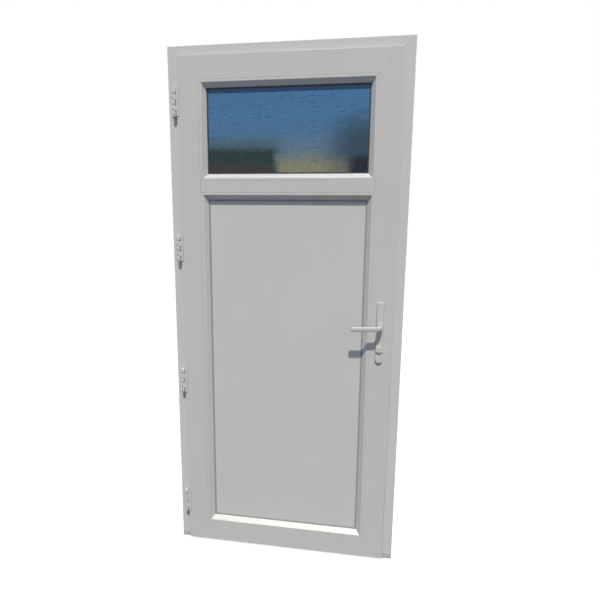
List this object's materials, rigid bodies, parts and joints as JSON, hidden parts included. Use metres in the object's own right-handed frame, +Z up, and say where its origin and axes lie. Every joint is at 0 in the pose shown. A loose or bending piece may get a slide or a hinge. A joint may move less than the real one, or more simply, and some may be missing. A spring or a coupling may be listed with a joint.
{
  "type": "plastic side door with frame, upper light and lower panel",
  "caption": "White PVC side door hung in a three-sided frame on a low threshold, with a glazed upper light, plain lower panel, barrel hinges and lever handle.",
  "frame": {"origin": "on the hinge jamb's outer face, at mid depth of the frame, 1 m above the floor", "axes": "+X from the hinge side to the lock side, +Y from the room into the wall, +Z up"},
  "size_m": [0.9, 0.1554, 2],
  "materials": {
    "pvc_white": "smooth extruded PVC, semi-gloss",
    "bead_white": "smooth extruded PVC bead, semi-gloss",
    "panel_white": "flat PVC-skinned panel, satin",
    "rubber_black": "matt",
    "obscure_glass": "pressed pattern, obscure",
    "clear_glass": "clear float glass",
    "spacer_aluminium": "mill",
    "threshold_aluminium": "anodised",
    "gasket_grey": "matt",
    "end_block_grey": "moulded",
    "hinge_white": "white powder coat",
    "handle_white": "white powder coat",
    "lock_steel": "zinc-plated",
    "cylinder_nickel": "satin nickel"
  },
  "bodies": {
    "frame": {"frame_jamb_hinge": "pvc_white", "frame_jamb_lock": "pvc_white", "frame_head": "pvc_white", "frame_seal": "rubber_black", "strike_plate": "lock_steel", "threshold": "threshold_aluminium", "threshold_end_hinge": "end_block_grey", "threshold_end_lock": "end_block_grey", "hinge_1_frame_leaf": "hinge_white", "hinge_2_frame_leaf": "hinge_white", "hinge_3_frame_leaf": "hinge_white", "hinge_4_frame_leaf": "hinge_white"},
    "leaf": {"sash_stile_hinge": "pvc_white", "sash_stile_lock": "pvc_white", "sash_rail_top": "pvc_white", "sash_rail_bottom": "pvc_white", "sash_seal": "rubber_black", "transom": "pvc_white", "light_bead_left": "bead_white", "light_bead_right": "bead_white", "light_bead_top": "bead_white", "light_bead_bottom": "bead_white", "panel_bead_left": "bead_white", "panel_bead_right": "bead_white", "panel_bead_top": "bead_white", "panel_bead_bottom": "bead_white", "light_gaskets": "gasket_grey", "panel_gaskets": "gasket_grey", "glass_pane_room": "obscure_glass", "glass_pane_outer": "clear_glass", "glass_spacer": "spacer_aluminium", "lower_panel": "panel_white", "hinge_1_sash_leaf": "hinge_white", "hinge_2_sash_leaf": "hinge_white", "hinge_3_sash_leaf": "hinge_white", "hinge_4_sash_leaf": "hinge_white", "handle_plate_room": "handle_white", "handle_plate_outer": "handle_white", "lock_cylinder": "cylinder_nickel", "lock_faceplate": "lock_steel", "lock_bolts": "lock_steel"},
    "handle": {"lever_room": "handle_white", "lever_outer": "handle_white", "handle_spindle": "lock_steel"}
  },
  "joints": [
    {"name": "leaf_swing", "type": "hinge", "parent": "frame", "child": "leaf", "pos_m": [0.0265, -0.046, 0], "axis": [0, 0, -1], "range_deg": [0, 100]},
    {"name": "lever_turn", "type": "hinge", "parent": "leaf", "child": "handle", "pos_m": [0.815, -0.06, -0.02], "axis": [0, -1, 0], "range_deg": [0, 40], "stiffness_Nm_per_rad": 1.5, "springref_deg": -20.05}
  ]
}
